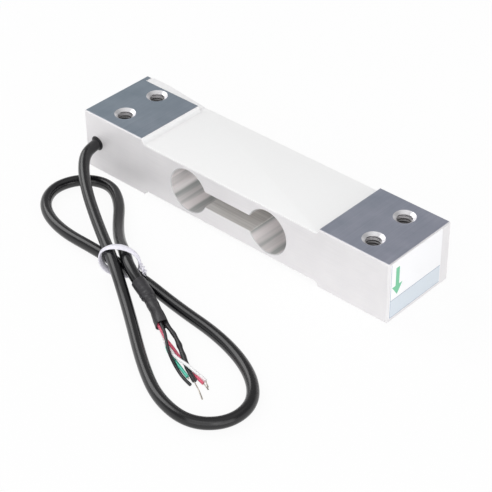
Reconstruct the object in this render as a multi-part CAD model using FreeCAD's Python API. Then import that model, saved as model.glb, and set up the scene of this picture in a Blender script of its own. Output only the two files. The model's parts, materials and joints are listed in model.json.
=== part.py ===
"""Single point load cell: an aluminium bending beam with four tapped mounting holes, a
binocular hole through its middle, strain gauges sealed in a shallow recess above and below it,
and a screened four-core cable that is looped and tied in front.

Millimetres, +Z up. The origin is the middle of the beam's underside. X runs along the beam
from the cable end (-X) to the loaded end (+X), and the cable leaves the -Y side.
"""
import FreeCAD
import Part
import math
import os

from FreeCAD import Vector

# ---- driving dimensions -------------------------------------------------------------------
BEAM_LENGTH = 130.0
BEAM_WIDTH = 30.0
BEAM_HEIGHT = 22.0
PAD_LENGTH = 27.0            # full-height mounting pad at each end
RECESS_DEPTH = 2.2           # the middle is lower than the pads, above and below
RECESS_CORNER = 2.0          # round left by the cutter where the recess meets a pad
EDGE_CHAMFER = 0.5

BORE_WALL = 1.0              # thinnest section, over and under each bore
BORE_FROM_PAD = 21.0
SLOT_HEIGHT = 6.0
BORE_CHAMFER = 0.25

BOLT_RADIUS = 3.0            # M6, to the outside of the thread
BOLT_FROM_END = 12.0
BOLT_SPACING = 15.0
COUNTERSINK = 1.0            # wider than the hole by this, at each mouth

CABLE_RADIUS = 1.9
CABLE_BORE_DEPTH = 9.0
CABLE_FROM_END = 5.5
CABLE_GRIP = 3.0             # length of cable held in the bore
SEAL_WALL = 0.4
SEAL_LIP = (0.45, 0.4)       # over the bore's edge, and out of the side
CORE_BORE_RADIUS = 1.5       # carries the cores on from the cable's end
RISER_RADIUS = 1.1           # goes up from there to the channel
RISER_MARGIN = 0.2           # from the channel's inner wall

CHANNEL_WIDTH = 3.0          # for the cores, along the back edge of the cable-end pad
CHANNEL_DEPTH = 3.0
CHANNEL_RUNOUT = 2.2         # past the riser
CHANNEL_LEVEL = 8.0          # length over which its filling stays level with the pad
CROSS_BORE_RADIUS = 1.5      # takes the links between the upper and the lower recess
CROSS_BORE_FROM_PAD = 6.5

SEALANT = 0.3
FILM = 0.15
FILM_SETBACK = 0.15          # from the beam's sides
FILM_END = 1.2               # from each pad, so that it clears the cutter's round
CLEARANCE = 0.05             # around what is sealed in

BOARD = (7.0, 14.0, 0.4)     # terminal board, along X, Y and Z
POCKET_MARGIN = (0.5, 4.0)   # room round the board in its pocket
GRID = (5.0, 3.6, 0.05)
CARRIER_MARGIN = (0.8, 1.4)  # past the grid's tabs and its outer strips
CARRIER_THICKNESS = 0.1
GRID_LINES = 7
GRID_STRIP = 0.28
GRID_TAB = 1.2
TAB_WIDTH = 0.8
JUMPER = 0.12                # square wire
JUMPER_DETOUR = 2.6          # takes the far gauge's jumpers past the near gauge
JUMPER_FOOT = (0.6, 0.6)     # soldered to the board
BOARD_MARGIN = 0.8           # from a board's edge to the joints along it
CORE_RADIUS = 0.28           # cores inside the beam
CORE_GAP = 0.06
CORE_SWEEP = (2.5, 4.0)      # from the riser to a core's own lane, and down to the channel
LINK_PITCH = 1.2
RESISTOR = (3.2, 1.6, 0.3)
RESISTOR_MARGIN = 2.0        # from the board's front edge

LABEL_THICKNESS = 0.1
LABEL_FROM_FRONT = 0.9
LABEL_FROM_BACK = 4.3
LABEL_FROM_BASE = 1.5
LABEL_FROM_TOP = 0.2

LEAD_RADIUS = 0.5
DRAIN_RADIUS = 0.8
STRAND_RADIUS = 0.25
SHRINK_WALL = 0.3
SHRINK_GAP = 0.05
SHRINK_CONE = 2.5            # past the jacket's end
SHRINK_NECK_RADIUS = 2.05    # outside, over the leads
TIE_THICKNESS = 0.9
TIE_WIDTH = 1.6
TIE_CORNER = 3.6
TWIST_RADIUS = 0.9           # the tie's two ends, twisted together
TWIST_TAPER = 0.7
OVERCUT = 1.0                # how far a cutting tool stands out of what it cuts

# ---- derived sizes ------------------------------------------------------------------------
HALF = BEAM_LENGTH / 2
SIDE = BEAM_WIDTH / 2
PAD_EDGE = HALF - PAD_LENGTH
TOP = BEAM_HEIGHT - RECESS_DEPTH
BASE = RECESS_DEPTH
MIDDLE = BEAM_HEIGHT / 2
BORE_X = PAD_EDGE - BORE_FROM_PAD
BORE_RADIUS = TOP - BORE_WALL - MIDDLE
BOLT_X = HALF - BOLT_FROM_END
EXIT_X = CABLE_FROM_END - HALF
CABLE_END_Y = CABLE_GRIP - SIDE
CABLE_BORE_RADIUS = CABLE_RADIUS + SEAL_WALL
CHANNEL_Y = SIDE - CHANNEL_WIDTH
CHANNEL_START = EXIT_X - RISER_RADIUS - CHANNEL_RUNOUT
CHANNEL_FLOOR = BEAM_HEIGHT - CHANNEL_DEPTH
RISER_Y = CHANNEL_Y + RISER_MARGIN + RISER_RADIUS
CROSS_BORE_X = CROSS_BORE_FROM_PAD - PAD_EDGE
POCKET = tuple(size + 2 * margin for size, margin in zip(BOARD, POCKET_MARGIN))
CARRIER = (GRID[0] + 2 * (GRID_TAB + CARRIER_MARGIN[0]), GRID[1] + 2 * CARRIER_MARGIN[1],
           CARRIER_THICKNESS)
CORE_PITCH = 2 * CORE_RADIUS + CORE_GAP
TOP_FILM = TOP + SEALANT
BASE_FILM = BASE - SEALANT

# ---- cord routes: points on the floor or in the air, chosen by hand --------------------------
CABLE_ROUTE = [
    (-59.5, -12.0, 11.0), (-59.5, -18.5, 11.0), (-56.5, -24.5, 9.8), (-47.0, -32.5, 7.8),
    (-29.5, -43.5, 6.8), (-12.5, -53.2, 6.7), (4.0, -63.0, 1.9), (26.5, -79.0, 1.9),
    (40.0, -86.0, 1.9), (53.0, -87.0, 1.9), (61.0, -79.5, 1.9), (60.5, -68.5, 1.9),
    (50.5, -59.5, 1.9), (34.0, -54.0, 1.9), (14.0, -52.3, 1.9), (-3.5, -50.4, 3.0),
    (-23.0, -49.6, 3.0), (-42.0, -49.0, 1.9), (-55.5, -44.0, 1.9), (-61.5, -34.5, 1.9),
    (-58.5, -24.5, 1.9), (-49.0, -20.0, 1.9), (-39.0, -25.0, 1.9), (-24.5, -39.5, 1.9),
    (-14.4, -47.0, 6.8), (-4.7, -53.4, 6.7), (4.5, -55.8, 4.4),
]
SHRINK_ROUTE = [(-0.1, -54.6, 5.55), (4.5, -55.8, 4.4), (10.5, -58.2, 3.0), (17.0, -61.6, 2.1)]
LEAD_START = SHRINK_ROUTE[1:]
LEAD_SIDE = (-0.42, -0.91)   # towards -Y across the leads
LEADS = {
    "black": (25.0, 1.12, [(23.0, -66.6, 1.2), (30.0, -70.9, 0.5), (36.0, -73.4, 0.5),
                           (40.9, -74.9, 0.5)]),
    "green": (-32.0, 1.12, [(23.0, -65.3, 0.6), (29.0, -68.8, 0.5), (33.7, -71.1, 0.5),
                            (37.7, -72.4, 0.5)]),
    "red": (-89.0, 1.12, [(23.5, -64.3, 0.5), (30.0, -67.7, 0.5), (37.0, -69.9, 0.5),
                          (43.4, -71.7, 0.5)]),
    "white": (-146.0, 1.12, [(23.5, -63.0, 0.5), (30.0, -66.0, 0.5), (36.5, -68.3, 0.5),
                             (42.4, -70.2, 0.5)]),
    "drain": (120.0, 0.79, [(23.5, -62.6, 2.2), (29.5, -65.6, 2.4), (35.5, -69.5, 2.4),
                            (41.1, -73.1, 0.8)]),
}
DRAIN_WIRE_ROUTE = [(41.1, -73.1, 0.8), (44.0, -75.0, 0.5), (47.0, -76.9, 0.4),
                    (49.2, -78.5, 0.3)]
TIPS = {
    "red": ((43.4, -71.7, 0.5), (46.3, -72.9, 0.3)),
    "white": ((42.4, -70.2, 0.5), (44.9, -71.2, 0.3)),
    "green": ((37.7, -72.4, 0.5), (39.2, -72.9, 0.4)),
}
TIE_MIDDLE = (-12.4, -50.3)
TIE_HEADING = 22.0
TIE_HALF = 7.8
TIE_RISE = (0.5, 9.5)
TWIST_HEIGHT = 5.0
TWIST_END = (-1.0, -50.6, 5.8)


# ---- helpers ------------------------------------------------------------------------------
def block(x0, x1, y0, y1, z0, z1):
    """Box between two opposite corners."""
    return Part.makeBox(x1 - x0, y1 - y0, z1 - z0, Vector(x0, y0, z0))


def plate(x, y, z, size):
    """Box of a given size, centred on x, y and standing on z."""
    a, b, t = size
    return block(x - a / 2, x + a / 2, y - b / 2, y + b / 2, z, z + t)


def rod(start, end, radius):
    """Cylinder from one point to another."""
    start, end = Vector(*start), Vector(*end)
    along = end - start
    return Part.makeCylinder(radius, along.Length, start, along)


def route_wire(points):
    """Straight runs joined by tangent arcs, with the arcs' radii and the length."""
    points = [Vector(*p) for p in points]
    edges, radii, last = [], [], points[0]
    for before, corner, after in zip(points, points[1:], points[2:]):
        back, ahead = before - corner, after - corner
        reach = 0.45 * min(back.Length, ahead.Length)
        back.normalize()
        ahead.normalize()
        start, end = corner + back * reach, corner + ahead * reach
        half_turn = (math.pi - back.getAngle(ahead)) / 2
        radius = reach / math.tan(half_turn)
        bisector = (back + ahead).normalize()
        top = corner + bisector * (radius / math.cos(half_turn) - radius)
        edges.append(Part.LineSegment(last, start).toShape())
        edges.append(Part.Arc(start, top, end).toShape())
        radii.append(radius)
        last = end
    edges.append(Part.LineSegment(last, points[-1]).toShape())
    return Part.Wire(edges), radii


def tube(name, points, radius):
    """Round cord along a route; prints its radii and compares its volume."""
    wire, radii = route_wire(points)
    start = wire.Edges[0]
    section = Part.Wire(Part.makeCircle(radius, start.valueAt(start.FirstParameter),
                                        start.tangentAt(start.FirstParameter)))
    solid = wire.makePipeShell([section], True, True)
    expected = math.pi * radius ** 2 * wire.Length
    print(f"{name}: length {wire.Length:.1f}, volume ratio {solid.Volume / expected:.4f}, radii",
          " ".join(f"{r:.1f}" for r in radii))
    return solid


def save(name, shape):
    shape.exportStep(f"parts/{name}.step")
    count = len(shape.Solids)
    if count != 1 or not shape.isValid():
        print(f"{name}: {count} solids, valid {shape.isValid()}")


# ---- the beam -----------------------------------------------------------------------------
def beam_profile():
    """Side view of the bar: two pads and the recessed middle, above and below."""
    reach = PAD_EDGE - RECESS_CORNER
    lift = RECESS_CORNER * math.sqrt(0.5)
    edges = []
    for sign, level, face in ((1, BASE, 0.0), (-1, TOP, BEAM_HEIGHT)):
        up = 1 if face == 0.0 else -1
        wall = level - up * RECESS_CORNER
        inner = [Vector(-sign * reach, 0, level), Vector(sign * reach, 0, level)]
        corner_mid = [Vector(s * (reach + lift), 0, wall + up * lift) for s in (-sign, sign)]
        foot = [Vector(s * PAD_EDGE, 0, wall) for s in (-sign, sign)]
        pad = [Vector(s * PAD_EDGE, 0, face) for s in (-sign, sign)]
        end = [Vector(s * HALF, 0, face) for s in (-sign, sign)]
        edges += [
            Part.LineSegment(end[0], pad[0]).toShape(),
            Part.LineSegment(pad[0], foot[0]).toShape(),
            Part.Arc(foot[0], corner_mid[0], inner[0]).toShape(),
            Part.LineSegment(inner[0], inner[1]).toShape(),
            Part.Arc(inner[1], corner_mid[1], foot[1]).toShape(),
            Part.LineSegment(foot[1], pad[1]).toShape(),
            Part.LineSegment(pad[1], end[1]).toShape(),
            Part.LineSegment(end[1], Vector(sign * HALF, 0, BEAM_HEIGHT - face)).toShape(),
        ]
    return Part.Wire(Part.__sortEdges__(edges))


def is_outer_edge(edge):
    """The straight edges round the pads, at the corners of the bar."""
    box = edge.BoundBox
    at_end = abs(abs(box.Center.x) - HALF) < 0.01 and box.XLength < 0.01
    at_side = abs(abs(box.Center.y) - SIDE) < 0.01 and box.YLength < 0.01
    flat = box.ZLength < 0.01
    at_face = flat and (box.ZMin < 0.01 or box.ZMax > BEAM_HEIGHT - 0.01)
    return (at_end and at_side) or (at_end and at_face) or (at_side and at_face)


def binocular_hole():
    """Two bores and the slot that joins them, each mouth lightly chamfered."""
    front = -SIDE - OVERCUT
    cutter = block(-BORE_X, BORE_X, front, -front,
                   MIDDLE - SLOT_HEIGHT / 2, MIDDLE + SLOT_HEIGHT / 2)
    for x in (-BORE_X, BORE_X):
        bore = Part.makeCylinder(BORE_RADIUS, -2 * front, Vector(x, front, MIDDLE),
                                 Vector(0, 1, 0))
        cutter = cutter.fuse(bore)
        for side in (-1, 1):
            mouth = Vector(x, side * SIDE, MIDDLE)
            cutter = cutter.fuse(Part.makeCone(BORE_RADIUS + BORE_CHAMFER, BORE_RADIUS,
                                               BORE_CHAMFER, mouth, Vector(0, -side, 0)))
    return cutter


def bolt_hole(x, y):
    """Tapped hole right through a pad, countersunk at both faces."""
    hole = Part.makeCylinder(BOLT_RADIUS, BEAM_HEIGHT, Vector(x, y, 0))
    wide = BOLT_RADIUS + COUNTERSINK
    low = Part.makeCone(wide, BOLT_RADIUS, COUNTERSINK, Vector(x, y, 0))
    high = Part.makeCone(BOLT_RADIUS, wide, COUNTERSINK, Vector(x, y, BEAM_HEIGHT - COUNTERSINK))
    return hole.fuse([low, high])


def cable_bores():
    """Stepped bore for the cable and its cores, with the riser at its blind end."""
    mouth, inward = Vector(EXIT_X, -SIDE, MIDDLE), Vector(0, 1, 0)
    reach = SIDE + RISER_Y + CORE_PITCH / 2 + 2 * CORE_RADIUS
    riser = Part.makeCylinder(RISER_RADIUS, BEAM_HEIGHT - MIDDLE, Vector(EXIT_X, RISER_Y, MIDDLE))
    return Part.makeCylinder(CABLE_BORE_RADIUS, CABLE_BORE_DEPTH, mouth, inward).fuse(
        [Part.makeCylinder(CORE_BORE_RADIUS, reach, mouth, inward), riser])


def channel():
    """Wire channel along the back edge, from the riser into the upper recess."""
    return block(CHANNEL_START, CROSS_BORE_X, CHANNEL_Y, SIDE, CHANNEL_FLOOR, BEAM_HEIGHT)


def board_pocket(top):
    """Pocket that lets a terminal board lie under the sealant."""
    depth = TOP - CHANNEL_FLOOR
    a, b = POCKET
    floor = CHANNEL_FLOOR if top else BASE
    pocket = plate(CROSS_BORE_X, 0, floor, (a, b, depth))
    if not top:
        return pocket
    return pocket.fuse(block(CROSS_BORE_X - a / 2, CROSS_BORE_X, b / 2, SIDE, floor, TOP))


def cross_bore():
    return Part.makeCylinder(CROSS_BORE_RADIUS, TOP - BASE, Vector(CROSS_BORE_X, 0, BASE))


def beam():
    bar = Part.Face(beam_profile()).extrude(Vector(0, BEAM_WIDTH, 0))
    bar.translate(Vector(0, -SIDE, 0))
    bar = bar.makeChamfer(EDGE_CHAMFER, [e for e in bar.Edges if is_outer_edge(e)])
    holes = [bolt_hole(x, y) for x in (-BOLT_X, BOLT_X)
             for y in (-BOLT_SPACING / 2, BOLT_SPACING / 2)]
    tools = [binocular_hole(), cable_bores(), channel(), board_pocket(True), board_pocket(False),
             cross_bore()] + holes
    return bar.cut(tools).removeSplitter()


# ---- what is sealed in the recesses --------------------------------------------------------
def gauge_grid(x, z):
    """Foil meander: parallel strips along X joined at alternate ends, with two tabs."""
    length, width, thick = GRID
    pitch = (width - GRID_STRIP) / (GRID_LINES - 1)
    first = -width / 2 + GRID_STRIP / 2
    parts = []
    for i in range(GRID_LINES):
        y = first + i * pitch
        parts.append(plate(x, y, z, (length, GRID_STRIP, thick)))
        if i:
            end = x + (length - GRID_STRIP) / 2 * (1 if i % 2 else -1)
            parts.append(plate(end, y - pitch / 2, z, (GRID_STRIP, pitch + GRID_STRIP, thick)))
    for y in (first, first + (GRID_LINES - 1) * pitch):
        parts.append(block(x - length / 2 - GRID_TAB, x - length / 2 + GRID_STRIP,
                           y - TAB_WIDTH / 2, y + TAB_WIDTH / 2, z, z + thick))
    return parts[0].fuse(parts[1:]).removeSplitter()


def gauges():
    """Four gauges, each over the thinnest section above or below a bore."""
    made = {}
    number = 0
    for top in (True, False):
        for x in (-BORE_X, BORE_X):
            number += 1
            carrier_z = TOP if top else BASE - CARRIER[2]
            grid_z = TOP + CARRIER[2] if top else BASE - CARRIER[2] - GRID[2]
            made[f"gauge_carrier_{number}"] = plate(x, 0, carrier_z, CARRIER)
            made[f"gauge_grid_{number}"] = gauge_grid(x, grid_z)
    return made


def boards():
    """Terminal boards in their pockets, each with the hole that the links pass through."""
    made = {}
    for name, z in (("upper", CHANNEL_FLOOR), ("lower", BEAM_HEIGHT - CHANNEL_FLOOR - BOARD[2])):
        hole = Part.makeCylinder(CROSS_BORE_RADIUS, BOARD[2] + 2 * OVERCUT,
                                 Vector(CROSS_BORE_X, 0, z - OVERCUT))
        made[f"terminal_board_{name}"] = plate(CROSS_BORE_X, 0, z, BOARD).cut(hole)
    made["trim_resistor"] = plate(CROSS_BORE_X, RESISTOR_MARGIN - BOARD[1] / 2,
                                  CHANNEL_FLOOR + BOARD[2], RESISTOR)
    return made


def jumpers():
    """Flat wires from each board to its gauges' tabs: a short hop, then along the recess."""
    made = {}
    number = 0
    tab_y = (GRID[1] - GRID_STRIP) / 2
    foot_x, foot_y = JUMPER_FOOT
    foot_end = CROSS_BORE_X + BOARD[0] / 2 - BOARD_MARGIN
    for top in (True, False):
        low = TOP + CARRIER[2] if top else BASE - CARRIER[2] - JUMPER
        high = low + JUMPER
        board_face = CHANNEL_FLOOR + BOARD[2] if top else BEAM_HEIGHT - CHANNEL_FLOOR - BOARD[2]
        for x, aside in ((-BORE_X, 0.0), (BORE_X, JUMPER_DETOUR)):
            for side in (-1, 1):
                number += 1
                y = side * (tab_y + aside)
                reach = x - GRID[0] / 2 - GRID_TAB
                foot = block(foot_end - foot_x, foot_end, y - foot_y / 2, y + foot_y / 2,
                             min(board_face, low), max(board_face, high))
                run = block(foot_end - foot_x, reach, y - JUMPER / 2, y + JUMPER / 2, low, high)
                near, far = sorted((side * tab_y, y))
                turn = block(reach - JUMPER, reach, near - JUMPER / 2, far + JUMPER / 2, low, high)
                made[f"jumper_{number}"] = foot.fuse([run, turn]).removeSplitter()
    return made


def cores():
    """Four insulated cores from the cable's end, up the riser, along the channel and over the
    board. Those at the back of the riser leave it above the others."""
    made = {}
    lanes = {"white": (1, 1), "green": (-1, 1), "red": (-1, -1), "black": (1, -1)}
    floor = CHANNEL_FLOOR + CORE_RADIUS + CLEARANCE
    board_face = CHANNEL_FLOOR + BOARD[2]
    sweep, settle = CORE_SWEEP
    for order, (name, (across, above)) in enumerate(lanes.items()):
        x = EXIT_X + across * CORE_PITCH / 2
        z = MIDDLE + above * CORE_PITCH / 2
        y = RISER_Y - above * CORE_PITCH / 2
        lane_y = CHANNEL_Y + CORE_RADIUS + 3 * CLEARANCE + order * CORE_PITCH
        rise = floor if across > 0 else floor + 1.5 * CORE_PITCH
        end_x = CROSS_BORE_X - BOARD[0] / 2 + BOARD_MARGIN + order * 1.3 * CORE_PITCH
        corners = [(x, CABLE_END_Y, z), (x, y, z), (x, y, rise),
                   (x + sweep, lane_y, rise), (x + settle, lane_y, floor),
                   (end_x, lane_y, floor),
                   (end_x, BOARD[1] / 2 - BOARD_MARGIN, board_face + CORE_RADIUS + CLEARANCE)]
        parts = [rod(a, b, CORE_RADIUS) for a, b in zip(corners, corners[1:])]
        parts += [Part.makeSphere(CORE_RADIUS, Vector(*p)) for p in corners[1:-1]]
        made[f"core_{name}"] = parts[0].fuse(parts[1:])
    return made


def links():
    """The two insulated links that join the upper and the lower half of the bridge."""
    made = {}
    upper_face = CHANNEL_FLOOR + BOARD[2]
    lower_face = BEAM_HEIGHT - upper_face
    for number, side in enumerate((-1, 1), 1):
        y = side * LINK_PITCH / 2
        made[f"bridge_link_{number}"] = rod((CROSS_BORE_X, y, lower_face),
                                            (CROSS_BORE_X, y, upper_face), CORE_RADIUS)
    return made


def without(shape, pieces):
    """The shape less what is sealed into it."""
    return shape.cut(pieces).removeSplitter()


def recess_fill(top):
    """Sealant in a recess, from pad to pad, and in the pocket under it."""
    low, high = (TOP, TOP_FILM) if top else (BASE_FILM, BASE)
    edge = SIDE - FILM_SETBACK
    slab = block(-PAD_EDGE, PAD_EDGE, -edge, edge, low, high)
    parts = [board_pocket(top)]
    if top:
        parts.append(block(-PAD_EDGE, CROSS_BORE_X, CHANNEL_Y, SIDE, CHANNEL_FLOOR, TOP))
    return slab.fuse(parts)


def cover_film(top):
    """Cover film over the sealant, trimmed short of the cutter's round."""
    reach, edge = PAD_EDGE - FILM_END, SIDE - FILM_SETBACK
    low = TOP_FILM if top else BASE_FILM - FILM
    return block(-reach, reach, -edge, edge, low, low + FILM)


def channel_fill():
    """Filling of the wire channel: level with the pad, then falling to the recess."""
    points = [(CHANNEL_START, CHANNEL_FLOOR), (-PAD_EDGE, CHANNEL_FLOOR),
              (-PAD_EDGE, TOP_FILM + FILM), (CHANNEL_START + CHANNEL_LEVEL, BEAM_HEIGHT),
              (CHANNEL_START, BEAM_HEIGHT)]
    outline = Part.makePolygon([Vector(x, CHANNEL_Y, z) for x, z in points + points[:1]])
    return Part.Face(outline).extrude(Vector(0, CHANNEL_WIDTH, 0))


# ---- cable, seal and label -----------------------------------------------------------------
def cable_seal():
    """Sleeve of sealant round the cable in its bore, with a low lip outside."""
    overlap, height = SEAL_LIP
    mouth = Vector(EXIT_X, -SIDE, MIDDLE)
    sleeve = Part.makeCylinder(CABLE_BORE_RADIUS, CABLE_GRIP, mouth, Vector(0, 1, 0))
    lip = Part.makeCone(CABLE_BORE_RADIUS + overlap, CABLE_RADIUS + 2 * CLEARANCE, height, mouth,
                        Vector(0, -1, 0))
    held = rod((EXIT_X, CABLE_END_Y, MIDDLE), (EXIT_X, -SIDE - height, MIDDLE), CABLE_RADIUS)
    return sleeve.fuse(lip).cut(held)


def label():
    """Thin label on the loaded end, set towards the front."""
    return block(HALF, HALF + LABEL_THICKNESS, LABEL_FROM_FRONT - SIDE, SIDE - LABEL_FROM_BACK,
                 LABEL_FROM_BASE, BEAM_HEIGHT - LABEL_FROM_TOP)


def shrink_form(extra):
    """Solid sleeve grown by extra: wide over the jacket, a cone past its end, then a neck."""
    start, jacket, bend, mouth = [Vector(*p) for p in SHRINK_ROUTE]
    wide = CABLE_RADIUS + SHRINK_GAP + extra
    narrow = SHRINK_NECK_RADIUS - SHRINK_WALL + extra
    along = (bend - jacket).normalize()
    neck = jacket + along * SHRINK_CONE
    path, _ = route_wire([neck, bend, mouth])
    section = Part.Wire(Part.makeCircle(narrow, neck, along))
    return rod(start, jacket, wide).fuse([
        Part.makeSphere(wide, jacket),
        Part.makeCone(wide, narrow, SHRINK_CONE, jacket, along),
        path.makePipeShell([section], True, True),
    ])


def shrink_sleeve():
    """Heat-shrink over the jacket's end, necked down onto the leads."""
    return shrink_form(SHRINK_WALL).cut(shrink_form(0.0))


def lead_points(name):
    """A lead's route: side by side with the others in the sleeve, then its own way."""
    angle, spread, free = LEADS[name]
    across = math.cos(math.radians(angle)) * spread
    up = math.sin(math.radians(angle)) * spread
    held = [(x + LEAD_SIDE[0] * across, y + LEAD_SIDE[1] * across, z + up)
            for x, y, z in LEAD_START]
    return held + free


def leads(cable):
    """The four cores' insulation and the screen's black sleeve, from the jacket's end, and
    the bare wire that sticks out of them."""
    made = {}
    for name in LEADS:
        radius = DRAIN_RADIUS if name == "drain" else LEAD_RADIUS
        node = "drain_sleeve" if name == "drain" else f"lead_{name}"
        made[node] = tube(node, lead_points(name), radius).cut(cable)
    made["drain_wire"] = tube("drain_wire", DRAIN_WIRE_ROUTE, STRAND_RADIUS).cut(
        made["drain_sleeve"])
    for name, (start, end) in TIPS.items():
        made[f"bare_tip_{name}"] = rod(start, end, STRAND_RADIUS).cut(made[f"lead_{name}"])
    return made


def tie_frame():
    """Middle of the tie's loop, and the directions across it and square to it."""
    heading = math.radians(TIE_HEADING)
    across = Vector(math.cos(heading), math.sin(heading), 0)
    return Vector(*TIE_MIDDLE, sum(TIE_RISE) / 2), across, Vector(-across.y, across.x, 0)


def tie_loop(grow):
    """Rounded block in the tie's plane, grown by part of the wire's thickness."""
    half = TIE_HALF + grow
    rise = (TIE_RISE[1] - TIE_RISE[0]) / 2 + grow
    loop = block(-half, half, -TIE_WIDTH / 2, TIE_WIDTH / 2, -rise, rise)
    corners = [e for e in loop.Edges if e.BoundBox.YLength > TIE_WIDTH / 2]
    return loop.makeFillet(TIE_CORNER + grow, corners)


def tie_ring():
    """Flat coated wire bent once round the three strands: an upright rounded loop."""
    middle, across, square = tie_frame()
    ring = tie_loop(TIE_THICKNESS / 2).cut(tie_loop(-TIE_THICKNESS / 2))
    ring.Placement = FreeCAD.Placement(middle, FreeCAD.Rotation(across, square, Vector(0, 0, 1)))
    return ring


def tie_twist():
    """The tie's two ends twisted together: a short tapered stub beside the loop."""
    middle, across, _ = tie_frame()
    end = Vector(*TWIST_END)
    beside = TIE_HALF + TIE_THICKNESS / 2 + TWIST_RADIUS + CLEARANCE
    start = middle + across * beside
    start.z = TWIST_HEIGHT
    along = end - start
    return Part.makeCone(TWIST_RADIUS, TWIST_RADIUS * TWIST_TAPER, along.Length, start, along)


# ---- all nodes ----------------------------------------------------------------------------
def main():
    os.makedirs("parts", exist_ok=True)
    body = beam()
    nodes = {"load_cell_body": body, "label": label()}
    nodes["signal_cable"] = tube("signal_cable", CABLE_ROUTE, CABLE_RADIUS)
    nodes["cable_seal"] = cable_seal()
    sealed = {**gauges(), **boards(), **jumpers(), **cores(), **links()}
    nodes.update(sealed)
    buried = [body, *sealed.values()]
    nodes["upper_sealant"] = without(recess_fill(True), buried)
    nodes["lower_sealant"] = without(recess_fill(False), buried)
    nodes["channel_sealant"] = without(channel_fill(), buried)
    nodes["upper_cover_film"] = cover_film(True)
    nodes["lower_cover_film"] = cover_film(False)
    nodes["heat_shrink_sleeve"] = shrink_sleeve()
    nodes.update(leads(nodes["signal_cable"]))
    nodes["tie_ring"] = tie_ring()
    nodes["tie_twist"] = tie_twist()
    for name, shape in nodes.items():
        save(name, shape)
    print(len(nodes), "nodes, cable bend radii above")


main()
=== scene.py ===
"""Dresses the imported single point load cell: machined beam, sealed recesses, label, threads,
and a screened cable that is looped and tied in front, with its four cores and drain stripped.

Metres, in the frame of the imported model: +X along the beam from the cable end to the loaded end,
+Z up, and the cable leaves the -Y side. The origin is the middle of the beam's underside.
"""
import json
import random
from math import cos, exp, pi, radians, sin

import bmesh
import bpy
from bpy.props import FloatProperty, FloatVectorProperty, PointerProperty
from mathutils import Matrix, Vector


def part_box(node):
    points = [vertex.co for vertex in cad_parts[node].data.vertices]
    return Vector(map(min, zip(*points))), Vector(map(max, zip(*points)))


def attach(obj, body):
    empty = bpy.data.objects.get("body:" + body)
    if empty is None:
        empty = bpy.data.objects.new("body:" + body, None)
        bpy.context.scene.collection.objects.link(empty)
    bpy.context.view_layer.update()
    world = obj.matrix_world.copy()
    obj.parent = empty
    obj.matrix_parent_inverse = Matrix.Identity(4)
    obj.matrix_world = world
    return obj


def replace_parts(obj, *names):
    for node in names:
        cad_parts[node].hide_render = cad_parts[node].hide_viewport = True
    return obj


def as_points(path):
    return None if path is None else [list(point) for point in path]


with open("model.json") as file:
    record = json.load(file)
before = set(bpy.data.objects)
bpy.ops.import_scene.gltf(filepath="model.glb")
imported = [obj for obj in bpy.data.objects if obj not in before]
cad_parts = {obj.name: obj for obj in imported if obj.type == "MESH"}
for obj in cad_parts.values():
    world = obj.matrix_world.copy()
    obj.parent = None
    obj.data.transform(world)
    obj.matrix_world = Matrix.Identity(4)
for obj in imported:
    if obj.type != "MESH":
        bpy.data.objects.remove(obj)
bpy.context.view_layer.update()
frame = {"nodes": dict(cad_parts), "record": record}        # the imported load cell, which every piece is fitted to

bl_info = {
    "name": "Single point load cell",
    "version": (1, 0, 0),
    "blender": (4, 5, 0),
    "location": "3D View > Sidebar > Load cell",
    "description": "Machined beam, sealed recesses, label, threads, tied cable and stripped leads",
    "category": "Object",
}

MM = 0.001
BODY = "root"

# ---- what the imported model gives
BEAM_LOW, BEAM_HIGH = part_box("load_cell_body")
UPPER_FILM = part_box("upper_cover_film")
LOWER_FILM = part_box("lower_cover_film")
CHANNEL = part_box("channel_sealant")
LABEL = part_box("label")
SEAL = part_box("cable_seal")
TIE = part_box("tie_ring")
PATTERNS = [m for m in frame["record"]["mounts"] if m["kind"] == "bolt_pattern"]

def in_metres(*points):
    """Points that are given in millimetres, in metres."""
    return [tuple(round(c / 1000, 6) for c in point) for point in points]


# ---- cord routes
# The cable's and the sleeve's points are the solids'. The leads and their bare ends lie a few
# millimetres from theirs: the red core passes under the black one, the white over the drain.
CABLE_RADIUS = 1.9 * MM
CABLE_ROUTE = in_metres(
    (-59.5, -12, 11), (-59.5, -18.5, 11), (-56.5, -24.5, 9.8), (-47, -32.5, 7.8),
    (-29.5, -43.5, 6.8), (-12.5, -53.2, 6.7), (4, -63, 1.9), (26.5, -79, 1.9), (40, -86, 1.9),
    (53, -87, 1.9), (61, -79.5, 1.9), (60.5, -68.5, 1.9), (50.5, -59.5, 1.9), (34, -54, 1.9),
    (14, -52.3, 1.9), (-3.5, -50.4, 3), (-23, -49.6, 3), (-42, -49, 1.9), (-55.5, -44, 1.9),
    (-61.5, -34.5, 1.9), (-58.5, -24.5, 1.9), (-49, -20, 1.9), (-39, -25, 1.9), (-28.5, -36, 2.4),
    (-20.5, -42.8, 4.4), (-13.2, -47.6, 6.7), (-4.7, -53.4, 6.7), (4.5, -55.8, 4.4))
SHRINK_ROUTE = in_metres(
    (-0.1, -54.6, 5.55), (4.5, -55.8, 4.4), (10.5, -58.2, 3), (17, -61.6, 2.1))
LEAD_START = SHRINK_ROUTE[1:]
LEAD_SIDE = (-0.42, -0.91)      # towards -Y across the leads
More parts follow.
